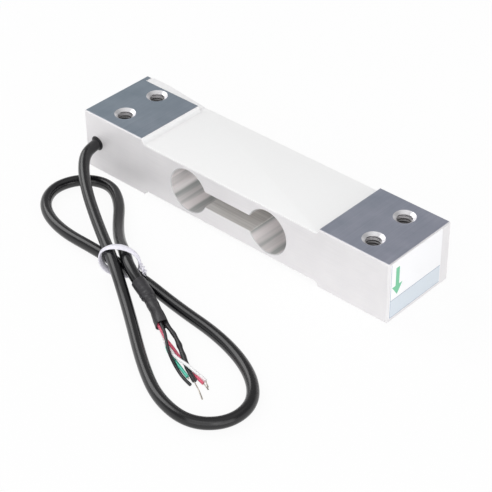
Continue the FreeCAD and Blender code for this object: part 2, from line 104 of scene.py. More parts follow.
# Each lead's angle in the sleeve in degrees, its distance from the sleeve's middle, and the
# points of its free part.
LEADS = {
    "black": (60.0, 1.12 * MM, in_metres(
        (21.1, -64.5, 3.3), (25.1, -67.9, 3.4), (28.1, -69.9, 2.6), (30.7, -70.9, 1.2),
        (34.3, -72.3, 0.5), (37.9, -73.6, 0.5), (40.6, -74.1, 0.5))),
    "red": (5.0, 1.12 * MM, in_metres(
        (19.7, -64.2, 2.3), (23, -66, 2.4), (24.3, -65.9, 1.5), (26.3, -66.2, 0.8),
        (29.1, -67.2, 0.5), (33.3, -68.8, 0.5), (38.3, -70.2, 0.5), (42.9, -71.2, 0.5))),
    "green": (-95.0, 1.12 * MM, in_metres(
        (19.6, -63.4, 0.5), (23.5, -66.5, 0.5), (26.2, -68.2, 0.5), (29, -69.2, 0.6),
        (32.1, -70.4, 0.9), (34.6, -71.4, 1.1), (38.1, -72.7, 1.1))),
    "white": (-42.0, 1.12 * MM, in_metres(
        (19.5, -64, 1.3), (23, -66.3, 1.2), (26, -67.8, 1.5), (29.6, -69.4, 2.2),
        (33.5, -70.5, 3.1), (36.1, -70.5, 3.1), (38.4, -70.2, 1.9), (40.7, -69.6, 0.7),
        (42.7, -69.9, 0.5))),
    "drain": (158.0, 1.05 * MM, in_metres(
        (21.3, -62.1, 2.6), (24.4, -63.4, 2.6), (27.8, -65.3, 2.4), (31.3, -67.5, 2.2),
        (34.5, -69.4, 1.9), (36.6, -70.7, 1.2), (40.5, -72.3, 0.8))),
}
LEAD_RADIUS = 0.5 * MM
DRAIN_RADIUS = 0.8 * MM
DRAIN_WIRE_ROUTE = in_metres(
    (40.1, -72.2, 0.9), (41.4, -72.9, 0.5), (43.8, -73.9, 0.3), (47.2, -76.1, 0.3))
TIP_ROUTES = {
    "red": in_metres((42.3, -71.1, 0.5), (44, -71.4, 0.5), (45.7, -72, 0.3)),
    "white": in_metres((42.3, -69.8, 0.5), (43.6, -70.4, 0.5), (44.9, -71.3, 0.3)),
    "green": in_metres((37.6, -72.5, 1.1), (38.3, -72.7, 1), (38.8, -72.8, 0.8)),
}
TIE_HEADING = 22.0              # degrees from +X to the tie loop's plane
TWIST_END = in_metres((-1, -50.6, 5.8))[0]

# ---- the camera
CAMERA_AT = (0.2967, -0.3259, 0.3146)
CAMERA_AZIMUTH = 42.87
CAMERA_ELEVATION = 36.45
CAMERA_ROLL = -0.69
CAMERA_LENS = 121.6


# ---- colour, nodes and materials
MIX_A, MIX_B, MIX_RESULT = 6, 7, 2      # a Mix node's colour sockets


def linear(hex_colour):
    """Linear red, green, blue and alpha of an sRGB hex value."""
    channels = [int(hex_colour[i:i + 2], 16) / 255 for i in (1, 3, 5)]
    return tuple(c / 12.92 if c <= 0.04045 else ((c + 0.055) / 1.055) ** 2.4
                 for c in channels) + (1.0,)


def add_node(tree, kind, inputs, **settings):
    """New shader node with its settings. An input is linked where it is given a socket, and
    its colour is linearised where it is given as a hex value."""
    made = tree.nodes.new(kind)
    for name, value in settings.items():
        setattr(made, name, value)
    for name, value in inputs.items():
        if isinstance(value, bpy.types.NodeSocket):
            tree.links.new(value, made.inputs[name])
        else:
            made.inputs[name].default_value = linear(value) if isinstance(value, str) else value
    return made


def new_surface(name, roughness, metallic=0.0, ior=None):
    """New material, its node tree and its Principled shader."""
    made = bpy.data.materials.new(name)
    made.use_nodes = True
    shader = made.node_tree.nodes["Principled BSDF"]
    shader.inputs["Roughness"].default_value = roughness
    shader.inputs["Metallic"].default_value = metallic
    if ior:
        shader.inputs["IOR"].default_value = ior
    return made, made.node_tree, shader


def mixed(tree, share, first, second, blend="MIX"):
    """Colour that a share of the second colour makes of the first."""
    return add_node(tree, "ShaderNodeMix", {0: share, MIX_A: first, MIX_B: second},
                    data_type="RGBA", blend_type=blend).outputs[MIX_RESULT]


def noise_at(tree, place, scale, detail):
    """Noise at a place, with its own scale along each axis."""
    place = add_node(tree, "ShaderNodeMapping", {"Vector": place, "Scale": scale}).outputs[0]
    return add_node(tree, "ShaderNodeTexNoise",
                    {"Vector": place, "Scale": 1.0, "Detail": detail}).outputs["Fac"]


def ranged(tree, value, limits, **settings):
    """Value carried from one range to another; limits are a Map Range node's inputs."""
    return add_node(tree, "ShaderNodeMapRange", {"Value": value, **limits},
                    **settings).outputs["Result"]


def work_out(tree, values, rows):
    """Adds a Math node for each row: its result's name, the operation and its two inputs,
    which are numbers or the names of earlier results."""
    for name, operation, first, second in rows:
        values[name] = add_node(tree, "ShaderNodeMath",
                                {0: values[first], 1: values.get(second, second)},
                                operation=operation).outputs[0]


def grain(tree, shader, dark, light, size, depth, stretch=(1, 1, 1)):
    """Mottles the colour between two tones and roughens the surface, at a grain size in
    metres, drawn out along the axes where stretch is under 1."""
    place = add_node(tree, "ShaderNodeTexCoord", {}).outputs["Object"]
    noise = noise_at(tree, place, [s / size for s in stretch], 3.0)
    tree.links.new(mixed(tree, noise, dark, light), shader.inputs["Base Color"])
    bump = add_node(tree, "ShaderNodeBump", {"Height": noise, "Distance": depth})
    tree.links.new(bump.outputs["Normal"], shader.inputs["Normal"])


def grained(name, roughness, dark, light, size, depth, metallic=0.0, ior=None,
            stretch=(1, 1, 1)):
    """New material with one grain all over."""
    made, tree, shader = new_surface(name, roughness, metallic, ior)
    grain(tree, shader, dark, light, size, depth, stretch)
    return made


def anodised_aluminium(settings):
    """Extruded bar, etched and clear anodised: pale satin, because a white bloom hides most of
    the metal, with faint lines along the bar. The pads' faces are cut last: plain metal, bluer
    and darker, with the cutter's passes across them. The bores carry noise bands of pinkish
    painted highlight and green-grey painted shade; their chamfered rims get a darker grey of
    painted shade that dims the highlight on them, and the slot between them keeps streaks
    along the bar."""
    face_depth = 0.1 * MM               # what counts as a pad's face
    recess_depth = 2.6 * MM             # just past the recesses' floors
    core_reach = 60.0 * MM              # from the bar's middle, short of the end faces
    slot_half, slot_reach = 3.3 * MM, 10.4 * MM
    wall_turn, rim_turn = 0.5, 0.8      # most that a wall's and a rim's normal point across
    made, tree, shader = new_surface("anodised_aluminium", settings.roughness, metallic=1.0)
    place = add_node(tree, "ShaderNodeTexCoord", {}).outputs["Object"]
    normal = add_node(tree, "ShaderNodeNewGeometry", {}).outputs["True Normal"]
    values = {}
    for source, names in ((place, ("x", "_", "level")), (normal, ("_", "across", "upward"))):
        parts = add_node(tree, "ShaderNodeSeparateXYZ", {0: source}).outputs
        values.update(zip(names, parts))
    middle = BEAM_HIGH.z / 2
    work_out(tree, values, (
        ("reach", "ABSOLUTE", "x", 0.0), ("off", "SUBTRACT", "level", middle),
        ("off", "ABSOLUTE", "off", 0.0), ("face", "GREATER_THAN", "off", middle - face_depth),
        ("upward", "ABSOLUTE", "upward", 0.0), ("pad", "MULTIPLY", "face", "upward"),
        ("core", "LESS_THAN", "off", middle - recess_depth),
        ("slot", "LESS_THAN", "off", slot_half), ("inner", "LESS_THAN", "reach", slot_reach),
        ("slot", "MULTIPLY", "slot", "inner"),
        ("across", "ABSOLUTE", "across", 0.0), ("wall", "LESS_THAN", "across", wall_turn),
        ("within", "LESS_THAN", "reach", core_reach), ("core", "MULTIPLY", "core", "within"),
        ("bore", "MULTIPLY", "core", "wall"), ("rim", "LESS_THAN", "across", rim_turn),
        ("rim", "MULTIPLY", "core", "rim"), ("rim", "SUBTRACT", "rim", "bore")))
    # Each pattern's long axis, its features per metre along that, and its size across it.
    lines, bands, passes, streaks = (
        noise_at(tree, place, [per_metre if axis == long else 1 / fine for axis in "xyz"], 2.0)
        for long, per_metre, fine in (
            ("x", 80.0, 0.15 * MM),     # milling lines along the bar
            # the bores' bands paint highlight and shade in colour
            ("y", 10.0, 3.5 * MM),      # bands through the bores
            ("y", 20.0, 0.5 * MM),      # the cutter's passes across the pads
            ("x", 15.0, 0.7 * MM)))     # streaks along the slot
    bore_shade_and_highlight = ranged(tree, bands, {"From Min": 0.40, "From Max": 0.60})   # crisper edges
    clouds_per_metre, line_depth = 150.0, 0.001 * MM
    cloud = add_node(tree, "ShaderNodeTexNoise",
                     {"Vector": place, "Scale": clouds_per_metre, "Detail": 4.0}).outputs["Fac"]
    end = ranged(tree, values["x"], {"From Min": BEAM_LOW.x, "From Max": BEAM_HIGH.x})
    tones = {}
    for name, share, first, second in (
            ("bar", cloud, settings.side_dark, settings.side_light),
            ("cut", end, settings.pad_near_cable, settings.pad_loaded),
            # Painted highlight and painted shade, in bands through the bores.
            ("bore", bore_shade_and_highlight, settings.bore_painted_shade, settings.bore_painted_highlight),
            ("mottle", cloud, "#D2DADD", "#FFFFFF"),
            ("passes", passes, "#E0E0E5", "#FFFFFF"),
            ("milled", streaks, settings.slot_dark, settings.slot_light),
            # Painted shade: the chamfered rims round the bores are greyer, to dim their highlight.
            ("rim", lines, "#C4C3C4", "#D2D1D2"),
            ("faint", lines, "#F2F2F2", "#FFFFFF")):
        tones[name] = mixed(tree, share, first, second)
    for name, share, over, blend in (
            ("cut", 1.0, "mottle", "MULTIPLY"), ("cut", 1.0, "passes", "MULTIPLY"),
            ("bore", values["slot"], "milled", "MIX"), ("bar", 1.0, "faint", "MULTIPLY"),
            ("bar", values["bore"], "bore", "MIX"), ("bar", values["rim"], "rim", "MIX"),
            ("bar", values["pad"], "cut", "MIX")):
        tones[name] = mixed(tree, share, tones[name], tones[over], blend)
    tree.links.new(tones["bar"], shader.inputs["Base Color"])
    for socket, on_bar, on_pad, in_bore in (
            ("Roughness", settings.roughness, settings.pad_roughness, settings.bore_roughness),
            ("Metallic", settings.bar_metallic, 1.0, settings.bore_metallic)):
        share = ranged(tree, values["pad"], {"To Min": on_bar, "To Max": on_pad})
        share = ranged(tree, values["bore"], {"To Min": share, "To Max": in_bore})
        tree.links.new(share, shader.inputs[socket])
    bump = add_node(tree, "ShaderNodeBump", {"Height": lines, "Distance": line_depth})
    tree.links.new(bump.outputs["Normal"], shader.inputs["Normal"])
    return made


def countersunk_aluminium():
    """Countersunk alloy under the anodic coat: a smooth pale cone, mostly metal."""
    return grained("countersunk_aluminium", 0.34, "#DCDBDE", "#EAE9EB",
                   0.3 * MM, 0.002 * MM, metallic=0.9)


def tapped_aluminium(settings):
    """Tapped alloy: bright flanks near the mouth, with painted shade darkening the threads further down."""
    full_shade_below, no_shade_above = 5.0 * MM, 1.5 * MM       # depths under the faces
    made, tree, shader = new_surface("tapped_aluminium", 0.48, metallic=1.0)
    place = add_node(tree, "ShaderNodeTexCoord", {}).outputs["Object"]
    values = {"off": add_node(tree, "ShaderNodeSeparateXYZ", {0: place}).outputs["Z"]}
    middle = BEAM_HIGH.z / 2
    work_out(tree, values, (("off", "SUBTRACT", "off", middle), ("off", "ABSOLUTE", "off", 0.0)))
    # Painted shade: the threads' tone falls from the mouth's tone to the shaded one with depth.
    share = ranged(tree, values["off"], {"From Min": middle - full_shade_below,
                                         "From Max": middle - no_shade_above})
    tree.links.new(mixed(tree, share, settings.thread_painted_shade, settings.thread_mouth),
                   shader.inputs["Base Color"])
    return made


def extruded_pvc(name, colour, roughness=0.38, size=0.6 * MM, depth=0.01 * MM):
    """Extruded PVC: satin, with the faint orange peel that the die leaves."""
    dark = tuple(0.88 * c for c in colour[:3]) + (1.0,)
    light = tuple(min(1.0, 1.1 * c) for c in colour[:3]) + (1.0,)
    return grained(name, roughness, dark, light, size, depth, ior=1.53)


def shrunk_polyolefin(name, colour):
    """Heat-shrunk polyolefin: dull black, finely creased round what it grips."""
    light = tuple(1.5 * c for c in colour[:3]) + (1.0,)
    return grained(name, 0.42, tuple(colour), light, 0.8 * MM, 0.05 * MM, ior=1.5,
                   stretch=(0.4, 1, 1))


def tinned_copper():
    """Fine tinned copper strands: bright, with a slightly yellow cast between the strands."""
    return grained("tinned_copper", 0.3, "#A89A88", "#DAD8D4", 0.25 * MM,
                   0.004 * MM, metallic=1.0)


def snipped_steel_wire():
    """Soft steel tie wire, dull grey where it was snipped."""
    return grained("tie_wire_steel", 0.4, "#9A9A9E", "#BDBDC2", 0.3 * MM,
                   0.003 * MM, metallic=1.0)


def matt_polyester(name, dark, light):
    """Printed or plain polyester film: even and matt, with a faint tooth."""
    return grained(name, 0.55, dark, light, 0.5 * MM, 0.003 * MM, ior=1.6)


def cured_silicone(name, dark, light):
    """Cured silicone: soft satin, slightly uneven where it was smoothed off."""
    return grained(name, 0.42, dark, light, 1.5 * MM, 0.06 * MM, ior=1.41)


def sealed_part(name, dark, light, roughness, metallic=0.0):
    """What lies under the sealant: foil, laminate, polyimide and ceramic in their own tones."""
    return grained(name, roughness, dark, light, 0.3 * MM, 0.004 * MM, metallic)


# ---- making pieces
def in_scene(name, data):
    """New object of some data, put in the scene."""
    made = bpy.data.objects.new(name, data)
    bpy.context.scene.collection.objects.link(made)
    return made


def placed(name, data, material):
    """New piece on the load cell's only body, with its finish."""
    piece = in_scene(name, data)
    piece.data.materials.append(material)
    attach(piece, BODY)
    return piece


def skin(sections, closed=False):
    """Points and faces through rings of equally many points: capped, or closed on itself."""
    count = len(sections[0])
    points = [tuple(p) for ring in sections for p in ring]
    spans = len(sections) - (0 if closed else 1)
    faces = []
    for i in range(spans):
        here, there = i * count, (i + 1) % len(sections) * count
        for j in range(count):
            k = (j + 1) % count
            faces.append((here + j, here + k, there + k, there + j))
    if not closed:
        last = (len(sections) - 1) * count
        faces += [tuple(reversed(range(count))), tuple(range(last, last + count))]
    return points, faces


def mesh_piece(name, skins, material, crease=40.0):
    """One mesh of one or more skins, smooth apart from edges sharper than the crease."""
    points, faces = [], []
    for some_points, some_faces in skins:
        start = len(points)
        points += some_points
        faces += [tuple(start + i for i in face) for face in some_faces]
    data = bpy.data.meshes.new(name)
    data.from_pydata(points, [], faces)
    whole = bmesh.new()
    whole.from_mesh(data)
    bmesh.ops.recalc_face_normals(whole, faces=whole.faces)
    whole.to_mesh(data)
    whole.free()
    data.shade_smooth()
    data.set_sharp_from_angle(angle=radians(crease))
    return placed(name, data, material)


def spline_curve(name, route, steps=12):
    """Curve with one smooth open spline that a route's points control."""
    curve = bpy.data.curves.new(name, "CURVE")
    curve.dimensions = "3D"
    curve.resolution_u = steps
    spline = curve.splines.new("NURBS")
    spline.points.add(len(route) - 1)
    for point, place in zip(spline.points, route):
        point.co = (*place, 1.0)
    spline.order_u = 3
    spline.use_endpoint_u = True
    return curve


def cord_piece(name, route, radius, material):
    """Round cord along a route's spline."""
    curve = spline_curve(name, route)
    curve.bevel_depth = radius
    curve.bevel_resolution = 6
    curve.use_fill_caps = True
    return placed(name, curve, material)


def read_path(route, steps=12):
    """Points along the smooth line that a route controls."""
    guide = bpy.data.objects.new("guide", spline_curve("guide", route, steps))
    mesh = bpy.data.meshes.new_from_object(guide)
    path = [v.co.copy() for v in mesh.vertices]
    bpy.data.meshes.remove(mesh)
    bpy.data.objects.remove(guide)
    return path


def carried(path):
    """Each point of a path with two directions square to it, carried along without twist."""
    side = None
    for i, point in enumerate(path):
        along = (path[min(i + 1, len(path) - 1)] - path[max(i - 1, 0)]).normalized()
        side = side - along * side.dot(along) if side else along.orthogonal()
        side.normalize()
        yield point, side, along.cross(side)


def turns(count):
    """Angles evenly spaced round a circle."""
    return [2 * pi * k / count for k in range(count)]


def ring_round(point, side, up, radius, count=16):
    """Ring of points round a path; radius may be a function of the angle."""
    return [point + (side * cos(angle) + up * sin(angle))
            * (radius(angle) if callable(radius) else radius) for angle in turns(count)]


def strands(path, number, strand_radius, lay_length, spread):
    """Skins of strands twisted round a path, fanning out a little at its end."""
    places = list(carried(path))
    step = (path[-1] - path[0]).length / (len(path) - 1)
    for n in range(number):
        line = []
        for i, (point, side, up) in enumerate(places):
            angle = 2 * pi * (n / number + i * step / lay_length)
            reach = strand_radius * (1.15 + spread * (i / len(places)) ** 3)
            line.append(point + (side * cos(angle) + up * sin(angle)) * reach)
        yield skin([ring_round(*place, strand_radius, 8) for place in carried(line)])


def rounded_outline(width, height, corner, steps=6):
    """Points round a rectangle with round corners, centred on the origin."""
    outline = []
    for turn, (sx, sy) in enumerate(((1, 1), (-1, 1), (-1, -1), (1, -1))):
        for k in range(steps + 1):
            angle = pi / 2 * (turn + k / steps)
            outline.append((sx * (width / 2 - corner) + corner * cos(angle),
                            sy * (height / 2 - corner) + corner * sin(angle)))
    return outline


def thin_sheet(width, height, thick, corner, place):
    """Skin of a thin sheet with round corners and a softened upper edge, put in place."""
    soft = thick / 2
    rings = [(0.0, 0.0), (0.0, thick - soft)]
    rings += [(soft * (1 - cos(a)), thick - soft + soft * sin(a))
              for a in (pi / 6, pi / 3, pi / 2)]
    sections = []
    for inset, level in rings:
        outline = rounded_outline(width - 2 * inset, height - 2 * inset, corner - inset)
        sections.append([place @ Vector((x, y, level)) for x, y in outline])
    return skin(sections)


def on_end_face(y, z, proud=0.0):
    """Place on the loaded end's face: a sheet's width runs along Y and its height along Z."""
    turned = Matrix(((0, 0, 1), (1, 0, 0), (0, 1, 0))).to_4x4()
    return Matrix.Translation((BEAM_HIGH.x + proud, y, z)) @ turned


# ---- sizes and colours that a user would change
def colour(name, hex_default, description):
    """Colour setting with its sRGB default."""
    return FloatVectorProperty(name=name, description=description, default=linear(hex_default),
                               subtype="COLOR", size=4, min=0.0, max=1.0)


def length(name, default, description):
    """Length setting in metres."""
    return FloatProperty(name=name, description=description, default=default, min=0.0,
                         unit="LENGTH", precision=5)


def fraction(name, default, description):
    """Setting from 0 to 1."""
    return FloatProperty(name=name, description=description, default=default, min=0.0, max=1.0)


def wattage(name, default, description):
    """Power setting of a light."""
    return FloatProperty(name=name, description=description, default=default, min=0.0,
                         unit="POWER")


class StudioSettings(bpy.types.PropertyGroup):
    floor: colour("Floor", "#F4F4F4", "Pale floor under the load cell")
    ceiling: FloatProperty(name="Ceiling", description="Brightness of the studio's ceiling",
                           default=0.42, min=0.0)
    key: wattage("Key light", 12.0, "Power of the large soft light in front")
    overhead: wattage("Overhead light", 3.4, "Power of the light overhead")
    side: wattage("Side lights", 3.5, "Power that the lights past the ends are scaled from")


class BeamSettings(bpy.types.PropertyGroup):
    side_dark: colour("Bar, darker", "#E8E6E8", "Darker tone of the anodised bar")
    side_light: colour("Bar, lighter", "#F3F1F2", "Lighter tone of the anodised bar")
    pad_near_cable: colour("Pad by the cable", "#B8C4CF", "Tone of the pads at the cable end")
    pad_loaded: colour("Loaded pad", "#D2D3E1", "Tone of the pads at the loaded end")
    # Bore tones: pinkish painted highlight and green-grey painted shade, in bands.
    bore_painted_shade: colour("Bore, darker", "#BABDBC", "Green-grey bands in the bores")
    bore_painted_highlight: colour("Bore, lighter", "#FFF9F9", "Pinkish bands in the bores")
    slot_dark: colour("Slot, darker", "#BDBAB7", "Darker streaks along the slot")
    slot_light: colour("Slot, lighter", "#FFFDFB", "Lighter streaks along the slot")
    # Thread tones: lit near the mouth, with painted shade further down.
    thread_mouth: colour("Thread, mouth", "#C4C2C4", "Tone of the threads near the surface")
    thread_painted_shade: colour("Thread, deep", "#6A686A", "Tone of the threads further down")
    roughness: fraction("Roughness", 0.52, "Roughness of the bar's finish")
    pad_roughness: fraction("Pad roughness", 0.38, "Roughness of the pads' finish")
    bore_roughness: fraction("Bore roughness", 0.28, "Roughness of the bores and the slot")
    bar_metallic: fraction("Bar's metal share", 0.32, "How far the bar's bloom leaves it metal")
    bore_metallic: fraction("Bores' metal share", 0.3, "The same in the bores")
    countersink: length("Countersink", 1.0 * MM, "How far the countersinks reach past the holes")
    thread_pitch: length("Thread pitch", 1.0 * MM, "Pitch of the mounting threads")
    thread_depth: length("Thread depth", 0.50 * MM, "Depth of the mounting threads")


class SealingSettings(bpy.types.PropertyGroup):
    film: colour("Cover film", "#F3F3F3", "White cover film over the gauges")
    filler: colour("Sealant", "#ECEBEC", "White sealant under the film and in the channel")
    film_corner: length("Film corner", 1.6 * MM, "Corner radius of the cover film")


class LabelSettings(bpy.types.PropertyGroup):
    ground: colour("Ground", "#F8F8FA", "Ground colour of the label")
    band: colour("Band", "#D3DBE3", "Pale band along the label's foot")
    rule: colour("Rules", "#8290A8", "Thin rules round the label and its band")
    arrow: colour("Arrow", "#7CC9A3", "Arrow that points along the load")
    band_height: length("Band height", 6.3 * MM, "Height of the pale band")
    corner: length("Corner", 0.5 * MM, "Corner radius of the label")


class CableSettings(bpy.types.PropertyGroup):
    jacket: colour("Jacket", "#0C0C0F", "Black jacket of the cable")
    sleeve: colour("Heat shrink", "#29282B", "Dull sleeve over the cable's end")
    tie: colour("Tie", "#EBE9F3", "White coated wire round the bundle")
    tie_width: length("Tie width", 2.7 * MM, "Width of the flat coated wire")
    tie_thickness: length("Tie thickness", 1.0 * MM, "Thickness of the flat coated wire")


class LeadSettings(bpy.types.PropertyGroup):
    red: colour("Red core", "#E25E79", "Insulation of the red core")
    green: colour("Green core", "#4CBFA6", "Insulation of the green core")
    white: colour("White core", "#F8F8F9", "Insulation of the white core")
    black: colour("Black core", "#1E1E22", "Insulation of the black core")
    strand: length("Strand", 0.085 * MM, "Radius of one copper strand")


class LoadCellSettings(bpy.types.PropertyGroup):
    studio: PointerProperty(type=StudioSettings)
    beam: PointerProperty(type=BeamSettings)
    sealing: PointerProperty(type=SealingSettings)
    label: PointerProperty(type=LabelSettings)
    cable: PointerProperty(type=CableSettings)
    leads: PointerProperty(type=LeadSettings)


# ---- camera, light and floor
FLOOR_HALF = 6.0
FLOOR_GLOW = 0.92               # share of the floor's white that shadows don't reach
HORIZON_TOP = 0.10              # sine of the height where the pale walls start to darken
CEILING_FOOT = 0.45             # and where the ceiling begins
LIGHTS_AIM = (0, -0.03, 0.01)
LOADED_END_SHARE = 1.6          # of the side lights' power
CABLE_END_SHARE = 2.3


def look_along(azimuth, elevation):
    """Direction of view; azimuth 0 looks along +Y and 90 along -X."""
    a, e = radians(azimuth), radians(elevation)
    return Vector((-sin(a) * cos(e), cos(a) * cos(e), -sin(e)))


def studio_camera():
    """Camera above the loaded end's front corner."""
    data = bpy.data.cameras.new("camera")
    data.lens = CAMERA_LENS
    camera = in_scene("camera", data)
    aim = look_along(CAMERA_AZIMUTH, CAMERA_ELEVATION).to_track_quat("-Z", "Y").to_matrix()
    roll = Matrix.Rotation(radians(CAMERA_ROLL), 3, "Z")
    camera.matrix_world = Matrix.Translation(CAMERA_AT) @ (aim @ roll).to_4x4()
    bpy.context.scene.camera = camera


def soft_light(name, place, aim, size, power):
    """Large square light that faces a point."""
    data = bpy.data.lights.new(name, "AREA")
    data.size = size
    data.energy = power
    light = in_scene(name, data)
    light.location = place
    light.rotation_euler = (Vector(aim) - Vector(place)).to_track_quat("-Z", "Y").to_euler()


def white_vinyl(settings):
    """Matt white vinyl floor: plain and even; it keeps soft shadows, and camera and mirror
    rays see most of it as lit from within."""
    made, tree, shader = new_surface("white_vinyl", 0.9)
    shader.inputs["Specular IOR Level"].default_value = 0.0
    grain(tree, shader, settings.floor, "#F7F7F7", 2.0 * MM, 0.002 * MM)
    seen = add_node(tree, "ShaderNodeLightPath", {}).outputs
    values = {"camera": seen["Is Camera Ray"], "mirror": seen["Is Glossy Ray"],
              "glass": seen["Is Transmission Ray"]}
    work_out(tree, values, (("any", "MAXIMUM", "camera", "mirror"),
                            ("any", "MAXIMUM", "any", "glass"),
                            ("share", "MULTIPLY", "any", FLOOR_GLOW)))
    glow = add_node(tree, "ShaderNodeEmission", {"Color": "#FFFFFF", "Strength": 1.0})
    both = add_node(tree, "ShaderNodeMixShader", {0: values["share"], 1: shader.outputs[0],
                                                  2: glow.outputs[0]})
    tree.links.new(both.outputs[0], tree.nodes["Material Output"].inputs["Surface"])
    return made


def studio_world(settings):
    """Pale walls near the horizon and a darker ceiling, as a gradient by height."""
    world = bpy.data.worlds.new("studio")
    world.use_nodes = True
    tree = world.node_tree
    place = add_node(tree, "ShaderNodeTexCoord", {}).outputs["Generated"]
    height = add_node(tree, "ShaderNodeSeparateXYZ", {0: place}).outputs["Z"]
    level = ranged(tree, height, {"From Min": HORIZON_TOP, "From Max": CEILING_FOOT,
                                  "To Min": 1.0, "To Max": settings.ceiling},
                   interpolation_type="SMOOTHSTEP")
    tree.links.new(level, tree.nodes["Background"].inputs["Strength"])
    tree.nodes["Background"].inputs["Color"].default_value = linear("#FDFDFD")
    bpy.context.scene.world = world


class LOADCELL_OT_studio(bpy.types.Operator):
    """Adds the camera, the soft lights, the studio's walls and the floor."""
    bl_idname = "loadcell.studio"
    bl_label = "Studio"

    def execute(self, context):
        settings = context.scene.load_cell.studio
        context.scene.view_settings.view_transform = "Standard"
        studio_camera()
        studio_world(settings)
        for name, place, size, power in (
                ("key_light", (0.55, -1.25, 1.05), 2.0, settings.key),
                ("overhead_light", (0.1, -0.1, 1.5), 2.0, settings.overhead),
                ("loaded_end_light", (1.3, -0.45, 0.6), 1.2, LOADED_END_SHARE * settings.side),
                ("cable_end_light", (-1.25, -0.1, 1.05), 1.0, CABLE_END_SHARE * settings.side)):
            soft_light(name, place, LIGHTS_AIM, size, power)
        data = bpy.data.meshes.new("floor")
        half = FLOOR_HALF
        data.from_pydata([(-half, -half, 0), (half, -half, 0), (half, half, 0),
                          (-half, half, 0)], [], [(0, 1, 2, 3)])
        data.materials.append(white_vinyl(settings))
        floor = in_scene("floor", data)
        return {"FINISHED"}


# ---- tie, sleeve, seal and cable
def tie_plane():
    """Middle of the tie's loop, and the direction across it."""
    heading = radians(TIE_HEADING)
    across = Vector((cos(heading), sin(heading), 0))
    return (TIE[0] + TIE[1]) / 2, across


def coated_strip(point, inward, broad, width, thickness):
    """Cross-section of the flat coated wire: round edges and a rib over the wire inside."""
    edge, rib_half = 0.75, 0.45         # the edges' share of the thickness, and of the width
    ring = []
    for angle in turns(20):
        u, v = cos(angle), sin(angle)
        rib = edge + (1 - edge) * exp(-(u / rib_half) ** 2)
        ring.append(point + broad * u * width / 2 + inward * v * rib * thickness / 2)
    return ring


def tie_loop_piece(settings):
    """Flat white wire bent once round the three strands, not quite evenly."""
    steps, half_width = 72, 6.7 * MM
    low, high = 0.65 * MM, TIE[1].z - 0.25 * MM     # of the wire's middle
    edge_on = 0.45                      # width lost where the loop turns its edge outwards
    middle, across = tie_plane()
    square = Vector((-across.y, across.x, 0))
    middle.z = (low + high) / 2
    path = []
    for angle in turns(steps):
        u, v = cos(angle), sin(angle)
        power = 2.25 - 0.25 * v             # squarer where it lies on the floor
        fuller = (abs(u) ** power + abs(v) ** power) ** (-1 / power)
        lean = 1.1 * MM * v - 0.3 * MM + 0.2 * MM * sin(2 * angle)
        path.append(middle + across * half_width * u * fuller
                    + Vector((0, 0, (high - low) / 2 * v * fuller)) + square * lean)
    sections = []
    for k, point in enumerate(path):
        along = (path[(k + 1) % steps] - path[k - 1]).normalized()
        inward = along.cross(square).normalized()
        broad = inward.cross(along)
        turned_away = max(across.dot(point - middle) / half_width, 0.0)
        sections.append(coated_strip(point, inward, broad,
                                     settings.tie_width * (1 - edge_on * turned_away),
                                     settings.tie_thickness))
    material = extruded_pvc("coated_tie_pvc", settings.tie, roughness=0.3, size=0.9 * MM)
    piece = mesh_piece("cable_tie", [skin(sections, closed=True)], material)
    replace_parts(piece, "tie_ring")
    return piece, material, path[0]


def tie_tail_piece(material, start):
    """The tie's two ends, twisted together, with a bare wire end standing out of each."""
    steps, arch = 30, 0.4 * MM
    _, across = tie_plane()
    end = Vector(TWIST_END)
    start = start + across * 0.5 * MM
    path = [start.lerp(end, i / steps) + Vector((0, 0, arch * sin(pi * i / steps)))
            for i in range(steps + 1)]
    skins = list(strands(path, number=2, strand_radius=0.38 * MM, lay_length=4.6 * MM,
                         spread=0.35))
    tail = mesh_piece("tie_tail", skins, material)
    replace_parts(tail, "tie_twist")
    along = (path[-1] - path[-4]).normalized()
    wire = [path[-1] + along * i * 0.25 * MM for i in range(-2, 4)]
    skins = list(strands(wire, number=2, strand_radius=0.16 * MM, lay_length=9 * MM, spread=1.2))
    ends = mesh_piece("tie_wire_ends", skins, snipped_steel_wire())
    return [tail, ends]


def shrink_radius(share, angle):
    """Outside radius of the sleeve: full over the jacket, a creased shoulder past its end, then
    lumpy over the leads. Share is the place along the sleeve, from 0 to 1."""
    over_jacket, over_leads = 2.28 * MM, 1.98 * MM
    shoulder, shoulder_end, crease_at, mouth_at = 0.30, 0.50, 0.42, 0.86
    fall = min(max((share - shoulder) / (shoulder_end - shoulder), 0.0), 1.0)
    fall = fall * fall * (3 - 2 * fall)
    radius = over_jacket * (1 - fall) + over_leads * fall
    crease = exp(-((share - crease_at) / 0.14) ** 2)
    radius += 0.10 * MM * crease * sin(52 * share + 2.1 * sin(angle + 0.8))
    radius += 0.06 * MM * sin(24 * share + 2 * angle) * (0.4 + fall)
    radius += 0.05 * MM * sin(61 * share + 3 * angle + 1.3) * (0.3 + crease)
    radius += 0.14 * MM * fall * cos(2 * angle + 6 * share)
    mouth = max(share - mouth_at, 0) / (1 - mouth_at)
    return radius + 0.16 * MM * mouth * (1 + 0.6 * sin(5 * angle))


def heat_shrink_piece(settings):
    """Sleeve with a real wall, shrunk over the jacket's end and down onto the leads."""
    wall = 0.28 * MM
    places = list(carried(read_path(SHRINK_ROUTE, steps=20)))
    sections = []
    for angle in turns(40):
        skin_out, skin_in = [], []
        for i, (point, side, up) in enumerate(places):
            reach = shrink_radius(i / (len(places) - 1), angle)
            way = side * cos(angle) + up * sin(angle)
            skin_out.append(point + way * reach)
            skin_in.append(point + way * (reach - wall))
        sections.append(skin_out + skin_in[::-1])
    material = shrunk_polyolefin("shrunk_polyolefin", settings.sleeve)
    piece = mesh_piece("heat_shrink", [skin(sections, closed=True)], material)
    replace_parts(piece, "heat_shrink_sleeve")
    return piece


